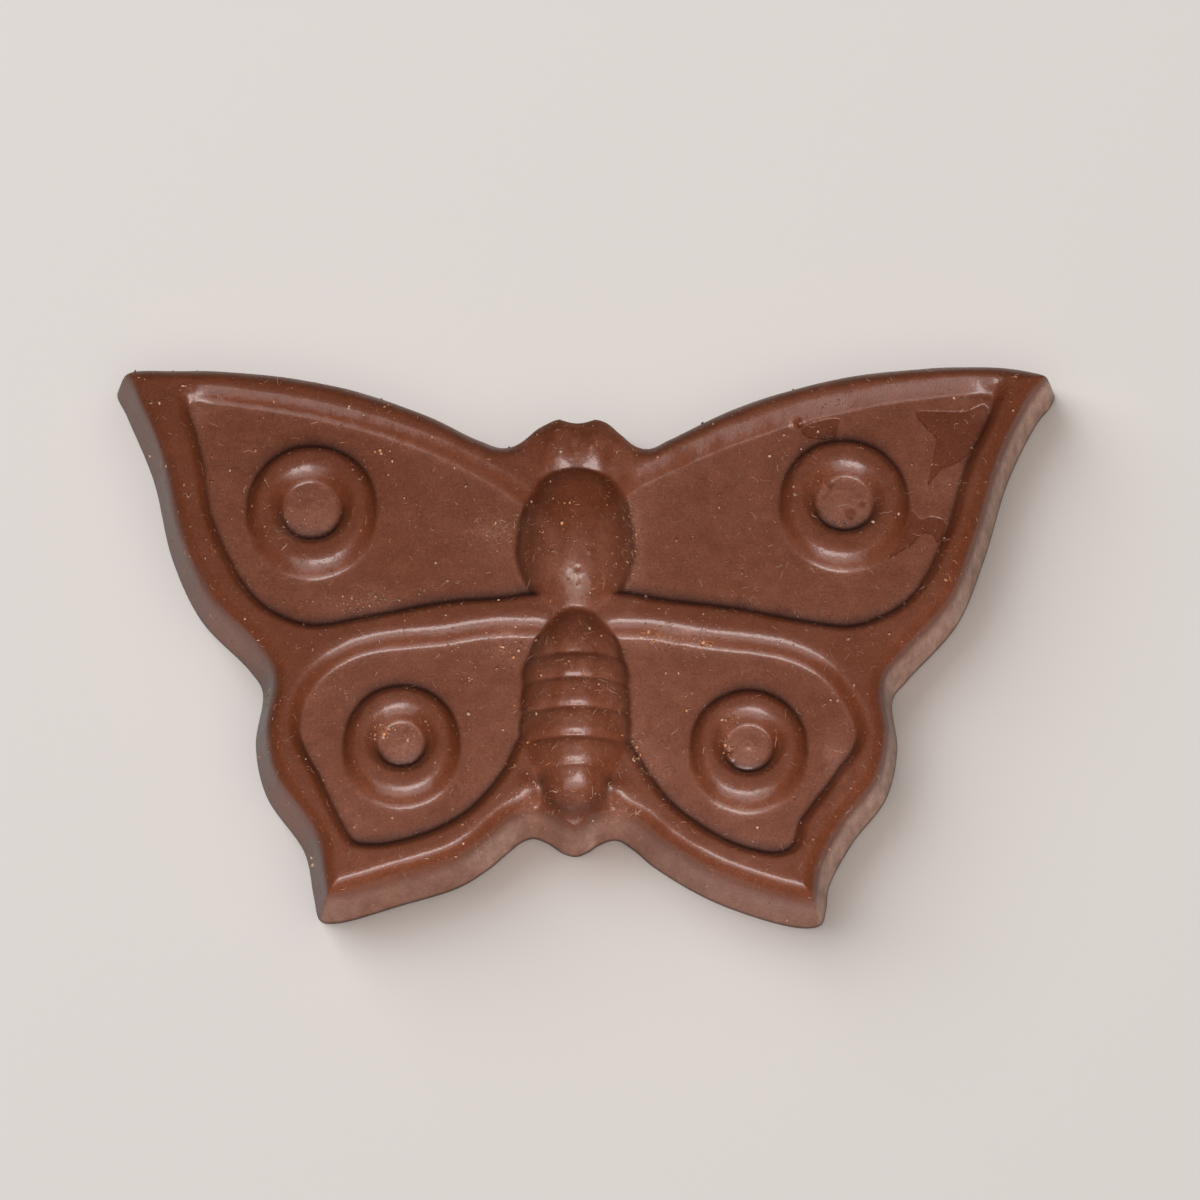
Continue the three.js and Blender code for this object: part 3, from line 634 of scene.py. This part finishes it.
def shade_at_level(body, shade):
    level, half_width, darkness = shade
    return darkness * np.exp(-(((body - level) / half_width) ** 2))


def crease_shade_of(xy):
    """Painted shade, 1 in the darkest creases: beside banks that face +Y, and at the foot of the
    body.
    """
    moved = warped(xy)
    x, y = moved.T
    crease_shade = np.zeros(len(xy))
    for loop in FIELD_LOOPS:
        field_inset, inward = loop.edge(moved)
        crease_shade = np.maximum(crease_shade, shade_line(field_inset, inward[:, 1]))
    for eye_x, eye_y, bead_inner, bead_outer, button_radius in EYESPOTS:
        radius = np.hypot(x - eye_x, y - eye_y) + 1e-9
        back = (y - eye_y) / radius
        crease_shade = np.maximum(crease_shade, shade_line(radius - bead_outer, back))
        crease_shade = np.maximum(crease_shade, shade_line(radius - bead_inner, -back))
    body = body_height(x, y)
    crease_shade *= smooth_step(7.0, 6.2, body)
    beside = shade_at_level(body, BESIDE_BODY) * smooth_step(0.3, -0.3, field_gap_of(moved))
    tail = shade_at_level(body, TAIL_SIDES) * smooth_step(-12.6, -13.6, y)
    along_thorax = smooth_step(2.5, 4.5, y) * smooth_step(13.5, 11.5, y)
    flank = shade_at_level(body, THORAX_FLANKS) * along_thorax
    on_body = BODY_SHADE * np.max([beside, tail, flank], 0)
    return np.clip(np.maximum(crease_shade, on_body), 0, 1)


# The sunk fields are paler partly from bloom and partly from a painted sheen, which the beads get
# less of.
FIELD_BLOOM_AND_SHEEN = 0.3
FOOT_PALENESS = 0.12  # on the lower part of the banks
BEAD_CLEARNESS = 0.24
BUTTON_BLOOM = 0.85
BLOOM_BLOTCHES = (6, 0.12)
MOST_BLOOM = 1.3


def bloom_and_sheen_of(xy):
    """How pale and dull the surface is: bloom on buttons and scuffed places, and on the sunk
    fields bloom together with a painted sheen of the overhead lamp.
    """
    x, y = xy.T
    field_gap = field_gap_of(xy)
    bloom_and_sheen = FIELD_BLOOM_AND_SHEEN * smooth_step(0.6, -0.4, field_gap)
    bloom_and_sheen += FOOT_PALENESS * smooth_step(-2.2, -0.3, field_gap) * smooth_step(0.5, 0, field_gap)
    for eye_x, eye_y, bead_inner, bead_outer, button_radius in EYESPOTS:
        radius = np.hypot(x - eye_x, y - eye_y)
        bloom_and_sheen -= BEAD_CLEARNESS * smooth_step(bead_outer + 0.3, bead_outer - 0.2, radius)
        bloom_and_sheen += BUTTON_BLOOM * smooth_step(button_radius + 0.1, button_radius - 0.4, radius)
    ragged = 1 + 0.6 * rough_noise(xy, 1.6, 21)
    for place in SCUFFS:
        bloom_and_sheen += place[4] * spot(x, y, place) * ragged
    bloom_and_sheen += BLOOM_BLOTCHES[1] * rough_noise(xy, BLOOM_BLOTCHES[0], 22)
    return np.clip(bloom_and_sheen, 0, MOST_BLOOM)


# Strength of the pale film and painted light on the walls that face -X, -Y and +X, and of the
# painted light on the far edge.
FILM_AND_LIGHT_LEFT, FILM_AND_LIGHT_FRONT, FILM_AND_LIGHT_RIGHT = 0.05, 0.45, 1.45
FAR_EDGE_PAINTED_LIGHT = 0.5


def film_and_light_of(xy, inset):
    """How pale the walls are: a film, plus painted light and painted floor reflection that grow
    towards +X, and painted light on the far edge. The inward direction tells which way a wall
    faces.
    """
    inward_x, inward_y = OUTLINE.edge(xy)[1].T
    film_and_light = FILM_AND_LIGHT_LEFT + (FILM_AND_LIGHT_FRONT - FILM_AND_LIGHT_LEFT) * smooth_step(1.0, 0.4, inward_x)
    film_and_light += (FILM_AND_LIGHT_RIGHT - FILM_AND_LIGHT_FRONT) * smooth_step(-0.3, -0.9, inward_x)
    film_and_light *= smooth_step(1.15, 0.8, inset)
    far = FAR_EDGE_PAINTED_LIGHT * smooth_step(2.2, 1.4, inset) * np.clip(-inward_y, 0, 1)
    return np.clip(np.maximum(film_and_light, far), 0, FILM_AND_LIGHT_RIGHT)


def make_butterfly(material):
    xy, faces, edge_count = triangulate()
    inset = OUTLINE.inset(xy)
    z = surface_height(xy, inset)
    z[:edge_count] = 0
    border = [Vector(p) for p in xy[:edge_count].tolist()]
    back = delaunay_2d_cdt(border, [], [list(range(edge_count))], CDT_INSIDE, CDT_EPSILON)[2]
    back = [list(reversed(face)) for face in back]
    piece = new_object("chocolate_butterfly", np.column_stack([xy, z]), faces + back)
    mesh = piece.data
    for polygon in mesh.polygons[len(faces):]:
        polygon.use_smooth = False
    # bloom holds bloom and the painted sheen on the fields.
    paint(piece, "bloom_and_sheen", bloom_and_sheen_of(xy))
    paint(piece, "skin", skin_of(xy))
    # crease holds painted shade for the creases.
    paint(piece, "crease_shade", crease_shade_of(xy))
    # wall holds the walls' pale film together with painted light.
    paint(piece, "wall", film_and_light_of(xy, inset))
    mesh.materials.append(material)
    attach(piece, "root")
    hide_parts("butterfly")
    return piece


# ---- Crumbs and scrapings that lie on it ----


SCATTER_MARGIN = 0.25  # least inset from the outline
SCATTER_SPREAD = 0.55  # how tightly crumbs gather at their place


def scattered(rng, places, anywhere):
    """Random points on the upper side, with more of them in the given places."""
    low, high = OUTLINE.points.min(0), OUTLINE.points.max(0)
    groups = [rng.uniform(low, high, (anywhere, 2))]
    for x, y, half_x, half_y, count, *_ in places:
        groups.append((x, y) + rng.normal(0, SCATTER_SPREAD, (count, 2)) * (half_x, half_y))
    points = np.vstack(groups)
    return points[OUTLINE.inset(points) > SCATTER_MARGIN]


def top_at(xy):
    return surface_height(xy, OUTLINE.inset(xy))


ICO = (1 + math.sqrt(5)) / 2
ICO_POINTS = np.array(
    [p for a in (-1, 1) for b in (-ICO, ICO) for p in ((0, a, b), (a, b, 0), (b, 0, a))]
) / math.hypot(1, ICO)


def ico_faces():
    """The faces of the icosahedron: every three corners that are an edge apart."""
    apart = np.linalg.norm(ICO_POINTS[:, None] - ICO_POINTS[None], axis=2)
    near = (apart > 0.1) & (apart < 1.2)
    faces = []
    for a in range(12):
        for b in range(a + 1, 12):
            for c in range(b + 1, 12):
                if near[a, b] and near[b, c] and near[a, c]:
                    out = np.cross(ICO_POINTS[b] - ICO_POINTS[a], ICO_POINTS[c] - ICO_POINTS[a])
                    turned = np.dot(out, ICO_POINTS[a]) < 0
                    faces.append((a, c, b) if turned else (a, b, c))
    return np.array(faces)


def add_scatter(name, points, faces, paleness, orange, material):
    piece = new_object(name, points, faces.tolist())
    paint(piece, "paleness", paleness)
    paint(piece, "orange", orange)
    piece.data.materials.append(material)
    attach(piece, "root")
    return piece


CRUMB_SMALLEST, CRUMB_GROWTH = 0.035, 0.11
CRUMB_RAISED = 0.3  # share of a crumb's radius that its middle stands above the surface
CRUMB_LUMPINESS = 0.35
CRUMB_STRETCH = (0.6, 1.5)
ORANGE_SHARE = 0.25
CHIP_PALENESS = 0.85


def make_crumbs(material):
    """Small lumpy grains. A power of the random number makes the small and dull ones common."""
    rng = np.random.default_rng(7)
    chips = np.array(CHIPS)
    xy = np.vstack([scattered(rng, CRUMB_PLACES, CRUMBS_ANYWHERE), chips[:, :2]])
    count = len(xy)
    orange_share = np.max([p[5] * spot(*xy.T, p) for p in CRUMB_PLACES], 0)
    orange = (rng.random(count) < ORANGE_SHARE + orange_share).astype(float)
    radius = CRUMB_SMALLEST + CRUMB_GROWTH * rng.random(count) ** 4
    orange[-len(chips):], radius[-len(chips):] = chips[:, 3], chips[:, 2]
    middle = np.column_stack([xy, top_at(xy) + CRUMB_RAISED * radius])
    corners = len(ICO_POINTS)
    lumpy = 1 + CRUMB_LUMPINESS * rng.uniform(-1, 1, (count, corners, 1))
    stretch = radius[:, None, None] * rng.uniform(*CRUMB_STRETCH, (count, 1, 3))
    points = middle[:, None] + ICO_POINTS[None] * lumpy * stretch
    faces = ico_faces()[None] + corners * np.arange(count)[:, None, None]
    paleness = 0.1 + 0.8 * rng.random(count) ** 1.8
    paleness[-len(chips):] = CHIP_PALENESS
    return add_scatter(
        "crumbs", points.reshape(-1, 3), faces.reshape(-1, 3),
        np.repeat(paleness, corners), np.repeat(orange, corners), material,
    )


CURL_POINTS = 7
CURL_SIDES = 3
CURL_SHORTEST, CURL_GROWTH = 0.25, 0.8
CURL_BEND = 3.2  # spread of the turn in radians
CURL_THINNEST, CURL_THICKENING = 0.018, 0.022
CURL_MARGIN = 0.15  # least inset of a whole curl from the outline
CURL_ORANGE_SHARE = 0.3


def make_curls(material):
    """Thin curved scrapings, each a fine three-sided thread that follows the surface."""
    rng = np.random.default_rng(11)
    start = scattered(rng, CURL_PLACES, CURLS_ANYWHERE)
    count = len(start)
    length = CURL_SHORTEST + CURL_GROWTH * rng.random(count) ** 2.5
    heading = rng.uniform(0, 2 * math.pi, count)
    bend = rng.normal(0, CURL_BEND, count)
    t = np.arange(CURL_POINTS) / (CURL_POINTS - 1)
    angle = heading[:, None] + bend[:, None] * (t + 0.5 * np.sin(5 * t + heading[:, None]))
    step = (length / (CURL_POINTS - 1))[:, None, None]
    moves = step * np.stack([np.cos(angle), np.sin(angle)], -1)
    path = start[:, None] + np.cumsum(moves, 1)
    flat = path.reshape(-1, 2)
    inset = OUTLINE.inset(flat)
    height = surface_height(flat, inset).reshape(count, CURL_POINTS)
    keep = inset.reshape(count, CURL_POINTS).min(1) > CURL_MARGIN
    path, height, angle = path[keep], height[keep], angle[keep]
    count = len(path)
    thickness = CURL_THINNEST + CURL_THICKENING * rng.random(count) ** 2
    taper = np.sin(math.pi * (0.08 + 0.84 * t)) ** 0.5
    radius = thickness[:, None] * taper
    across = np.stack([-np.sin(angle), np.cos(angle), np.zeros_like(angle)], -1)
    middle = np.concatenate([path, (height + 0.5 * radius)[..., None]], -1)
    rings = []
    for side in range(CURL_SIDES):
        turn = math.pi / 2 + 2 * math.pi * side / CURL_SIDES
        offset = across * math.cos(turn) + np.array([0, 0, math.sin(turn)])
        rings.append(middle + radius[..., None] * offset)
    points = np.stack(rings, 2).reshape(-1, 3)
    faces = []
    for ring in range(CURL_POINTS - 1):
        for side in range(CURL_SIDES):
            a = ring * CURL_SIDES + side
            b = ring * CURL_SIDES + (side + 1) % CURL_SIDES
            faces += [(a, b, b + CURL_SIDES), (a, b + CURL_SIDES, a + CURL_SIDES)]
    last = (CURL_POINTS - 1) * CURL_SIDES
    faces += [(0, 2, 1), (last, last + 1, last + 2)]
    per_curl = CURL_POINTS * CURL_SIDES
    faces = np.array(faces)[None] + per_curl * np.arange(count)[:, None, None]
    paleness = 0.12 + 0.7 * rng.random(count) ** 2.2
    orange = (rng.random(count) < CURL_ORANGE_SHARE).astype(float)
    return add_scatter(
        "scrapings", points, faces.reshape(-1, 3),
        np.repeat(paleness, per_curl), np.repeat(orange, per_curl), material,
    )


# ---- Materials ----


class Graph:
    """Small helper that adds and joins shader nodes."""

    def __init__(self, material):
        material.use_nodes = True
        self.nodes, self.links = material.node_tree.nodes, material.node_tree.links
        self.shader = self.nodes["Principled BSDF"]

    def put(self, value, socket):
        if isinstance(value, (int, float, tuple)):
            socket.default_value = value
        else:
            self.links.new(value, socket)

    def attribute(self, name):
        node = self.nodes.new("ShaderNodeAttribute")
        node.attribute_name = name
        return node.outputs["Fac"]

    def math(self, operation, a, b=0.0):
        node = self.nodes.new("ShaderNodeMath")
        node.operation = operation
        self.put(a, node.inputs[0])
        self.put(b, node.inputs[1])
        return node.outputs[0]

    def mix(self, factor, a, b):
        node = self.nodes.new("ShaderNodeMix")
        node.data_type = "RGBA"
        for value, index in ((factor, 0), (a, 6), (b, 7)):
            self.put(value, node.inputs[index])
        return node.outputs[2]

    def scaled(self, color, amount):
        node = self.nodes.new("ShaderNodeVectorMath")
        node.operation = "SCALE"
        self.put(color, node.inputs[0])
        self.put(amount, node.inputs["Scale"])
        return node.outputs[0]

    def noise(self, size, detail=2.0, stretch=(1, 1, 1)):
        """Noise from 0 to 1 with features of the given size in millimetres."""
        place = self.nodes.new("ShaderNodeTexCoord").outputs["Object"]
        mapping = self.nodes.new("ShaderNodeMapping")
        mapping.inputs["Scale"].default_value = stretch
        self.links.new(place, mapping.inputs["Vector"])
        node = self.nodes.new("ShaderNodeTexNoise")
        node.inputs["Scale"].default_value = 1 / (size * MM)
        node.inputs["Detail"].default_value = detail
        self.links.new(mapping.outputs[0], node.inputs["Vector"])
        return node.outputs[0]

    def around(self, value, amount):
        """Turns noise from 0 to 1 into a factor around 1."""
        return self.math("ADD", self.math("MULTIPLY", value, 2 * amount), 1 - amount)

    def bump(self, height, distance, below=None):
        node = self.nodes.new("ShaderNodeBump")
        node.inputs["Distance"].default_value = distance * MM
        self.links.new(height, node.inputs["Height"])
        if below:
            self.links.new(below, node.inputs["Normal"])
        return node.outputs[0]


CHOCOLATE = (0.207, 0.050, 0.0172, 1)
CHOCOLATE_DARK = (0.175, 0.038, 0.0125, 1)
CHOCOLATE_PALE = (0.31, 0.106, 0.06, 1)
# The walls' pale colour: partly a film, partly painted light and painted reflection of the floor.
WALL_FILM_AND_LIGHT = (0.62, 0.36, 0.27, 1)
STREAK_STRETCH = (1, 1, 0.3)  # the film's streaks run up the walls
# How far the painted shade in the creases darkens the colour.
CREASE_SHADE = 0.6
SKIN_SHARE = 0.75
# How much each kind of mottling lightens or darkens the colour.
SPECKS, GRAIN, MOTTLE, BLOTCH = 0.4, 0.4, 0.16, 0.1
ROUGHNESS = 0.36
BUMP_DEPTHS = (0.02, 0.02)  # of the waves and of the grain, in the chocolate
GLOSS_BUMP_DEPTHS = (0.04, 0.016)  # of the waves and of the ripples, in its gloss


def chocolate_material():
    """Milk chocolate with mottling, a fine grain, bloom, scuffs and a film on the walls, with
    painted shade in the creases, a painted sheen on the fields and painted light on the walls.
    """
    material = bpy.data.materials.new("milk_chocolate")
    g = Graph(material)
    bloom_and_sheen, skin, crease_shade, wall = (g.attribute(n) for n in ("bloom_and_sheen", "skin", "crease_shade", "wall"))
    grain, mottle, blotch = g.noise(0.14, 3.0), g.noise(1.1, 4.0), g.noise(6.0, 3.0)
    # Bloom, and the painted sheen on the fields, turn the colour towards pale chocolate.
    patchy = g.math("MULTIPLY", bloom_and_sheen, g.around(mottle, 0.7))
    patchy = g.math("MULTIPLY", patchy, g.around(grain, 0.6))
    color = g.mix(patchy, CHOCOLATE, CHOCOLATE_PALE)
    streaks = g.noise(0.9, 5.0, STREAK_STRETCH)
    # The pale film with painted light on the walls, strongest on the right wall and the far edge.
    film_and_light = g.math("MULTIPLY", wall, g.math("MULTIPLY", streaks, 1.1))
    color = g.mix(film_and_light, color, WALL_FILM_AND_LIGHT)
    color = g.mix(g.math("MULTIPLY", skin, SKIN_SHARE), color, CHOCOLATE_DARK)
    specks = g.noise(0.26, 4.0)
    for kind, amount in ((specks, SPECKS), (grain, GRAIN), (mottle, MOTTLE), (blotch, BLOTCH)):
        color = g.scaled(color, g.around(kind, amount))
    # Painted shade darkens the colour in the creases.
    shade = g.math("SUBTRACT", 1.0, g.math("MULTIPLY", crease_shade, CREASE_SHADE))
    g.put(g.scaled(color, shade), g.shader.inputs["Base Color"])
    rough = g.math("ADD", ROUGHNESS, g.math("MULTIPLY", mottle, 0.12))
    rough = g.math("ADD", rough, g.math("MULTIPLY", bloom_and_sheen, 0.12))
    g.put(g.math("SUBTRACT", rough, g.math("MULTIPLY", skin, 0.1)), g.shader.inputs["Roughness"])
    g.shader.inputs["IOR"].default_value = 1.48
    g.shader.inputs["Coat Weight"].default_value = 0.8
    g.shader.inputs["Coat Roughness"].default_value = 0.11
    waves = g.bump(g.noise(0.9, 3.0), BUMP_DEPTHS[0])
    g.put(g.bump(grain, BUMP_DEPTHS[1], waves), g.shader.inputs["Normal"])
    gloss_waves = g.bump(g.noise(1.1, 2.0), GLOSS_BUMP_DEPTHS[0])
    ripples = g.bump(g.noise(0.3, 3.0), GLOSS_BUMP_DEPTHS[1], gloss_waves)
    g.put(ripples, g.shader.inputs["Coat Normal"])
    return material


CRUMB_BROWN = (0.26, 0.085, 0.042, 1)
CRUMB_CREAM = (0.95, 0.66, 0.48, 1)
CRUMB_ORANGE = (0.95, 0.42, 0.2, 1)


def crumb_material():
    """Scraped chocolate, from brown to cream or orange."""
    material = bpy.data.materials.new("crumbs")
    g = Graph(material)
    pale = g.mix(g.attribute("orange"), CRUMB_CREAM, CRUMB_ORANGE)
    color = g.mix(g.attribute("paleness"), CRUMB_BROWN, pale)
    color = g.scaled(color, g.around(g.noise(0.08), 0.25))
    g.put(color, g.shader.inputs["Base Color"])
    g.shader.inputs["Roughness"].default_value = 0.32
    return material


FLOOR_COLOR = (0.80, 0.754, 0.724, 1)
MIRRORED_DARK = (0.03, 0.028, 0.026, 1)
MIRRORED_DIMMING = 0.58
MIRRORED_NEAR, MIRRORED_FAR = 0.012, 0.03  # metres over which the mirrored floor fades


def floor_material():
    """A pale floor. The gloss of the piece mirrors only the floor right beside it."""
    material = bpy.data.materials.new("pale_floor")
    material.use_nodes = True
    nodes, links = material.node_tree.nodes, material.node_tree.links
    shader = nodes["Principled BSDF"]
    path = nodes.new("ShaderNodeLightPath")
    fade = nodes.new("ShaderNodeMapRange")
    fade.inputs["From Min"].default_value = MIRRORED_NEAR
    fade.inputs["From Max"].default_value = MIRRORED_FAR
    fade.inputs["To Min"].default_value = MIRRORED_DIMMING
    links.new(path.outputs["Ray Length"], fade.inputs["Value"])
    darkness = nodes.new("ShaderNodeMath")
    darkness.operation = "MULTIPLY"
    links.new(fade.outputs["Result"], darkness.inputs[0])
    links.new(path.outputs["Is Glossy Ray"], darkness.inputs[1])
    color = nodes.new("ShaderNodeMix")
    color.data_type = "RGBA"
    color.inputs[6].default_value = FLOOR_COLOR
    color.inputs[7].default_value = MIRRORED_DARK
    links.new(darkness.outputs["Value"], color.inputs[0])
    links.new(color.outputs[2], shader.inputs["Base Color"])
    shader.inputs["Roughness"].default_value = 0.9
    shader.inputs["Specular IOR Level"].default_value = 0.1
    return material


# ---- Floor and light ----

FLOOR_HALF = 1500.0
FLOOR_DROP = 0.02


def make_floor(material):
    corners = [(-1, -1), (1, -1), (1, 1), (-1, 1)]
    points = np.array([(x * FLOOR_HALF, y * FLOOR_HALF, -FLOOR_DROP) for x, y in corners])
    floor = new_object("floor", points, [(0, 1, 2, 3)])
    floor.data.materials.append(material)
    return floor


def area_light(name, place, aim, size, radiance, only, sees=("diffuse", "glossy"), tint=None):
    """A soft box of the given radiance that lights only some objects, by some kinds of ray."""
    width, depth = (side * MM for side in size)
    data = bpy.data.lights.new(name, "AREA")
    data.shape = "RECTANGLE"
    data.size, data.size_y = width, depth
    data.energy = radiance * math.pi * width * depth
    data.color = tint or (1, 1, 1)
    light = bpy.data.objects.new(name, data)
    bpy.context.scene.collection.objects.link(light)
    light.location = Vector(place) * MM
    towards = Vector(aim) - Vector(place)
    light.rotation_euler = towards.to_track_quat("-Z", "Y").to_euler()
    light.visible_camera = False
    light.visible_diffuse = "diffuse" in sees
    light.visible_glossy = "glossy" in sees
    group = bpy.data.collections.new(name + "_receivers")
    for piece in only:
        group.objects.link(piece)
    light.light_linking.receiver_collection = group
    return light


WORLD_SEEN = 0.75
WORLD_FILL = 0.07
WORLD_MIRRORED = 0.05


def make_world():
    """A pale room that fills softly and is hardly mirrored in the gloss."""
    world = bpy.data.worlds.new("studio")
    world.use_nodes = True
    nodes, links = world.node_tree.nodes, world.node_tree.links
    background = nodes["Background"]
    background.inputs["Color"].default_value = (1.0, 0.98, 0.96, 1)
    path = nodes.new("ShaderNodeLightPath")
    level = WORLD_FILL
    for ray, strength in (("Is Glossy Ray", WORLD_MIRRORED), ("Is Camera Ray", WORLD_SEEN)):
        mix = nodes.new("ShaderNodeMix")
        links.new(path.outputs[ray], mix.inputs["Factor"])
        if isinstance(level, float):
            mix.inputs["A"].default_value = level
        else:
            links.new(level, mix.inputs["A"])
        mix.inputs["B"].default_value = strength
        level = mix.outputs["Result"]
    links.new(level, background.inputs["Strength"])
    bpy.context.scene.world = world


# ---- The scene ----

make_camera()
make_world()
chocolate = chocolate_material()
butterfly = make_butterfly(chocolate)
loose = crumb_material()
pieces = [butterfly, make_crumbs(loose), make_curls(loose)]
floor = make_floor(floor_material())
MIDDLE = (0, 0, 7)
FRONT_PLACE = (1, -58, 93)
OVERHEAD_PLACE, OVERHEAD_AIM = (0, -50, 400), (0, -50, 0)
area_light("front_gloss", FRONT_PLACE, MIDDLE, (60, 40), 4.0, pieces, ["glossy"])
area_light("front_core", FRONT_PLACE, MIDDLE, (30, 7), 32, pieces, ["glossy"])
area_light("front_wide", (0, -120, 130), MIDDLE, (200, 120), 1.2, pieces, ["glossy"])
area_light("front_fill", (0, -170, 190), MIDDLE, (200, 130), 5.3, pieces, ["diffuse"])
area_light("overhead_fill", OVERHEAD_PLACE, OVERHEAD_AIM, (300, 400), 0.8, pieces, ["diffuse"])
area_light("overhead_veil", OVERHEAD_PLACE, OVERHEAD_AIM, (300, 400), 0.5, pieces, ["glossy"])
area_light("side_fill", (500, 0, 80), MIDDLE, (300, 120), 2.0, pieces, ["diffuse"])
area_light("back_fill", (0, 500, 110), MIDDLE, (400, 120), 2.0, pieces, ["diffuse"])
COOL, WARM = (0.97, 1.0, 1.03), (1.0, 0.95, 0.9)
area_light("floor_key", (-1000, 830, 1150), MIDDLE, (1600, 1600), 3.05, [floor], tint=COOL)
area_light("floor_dome", (0, 0, 1500), MIDDLE, (3000, 3000), 0.74, [floor], tint=WARM)
bpy.context.scene.view_settings.view_transform = "Standard"
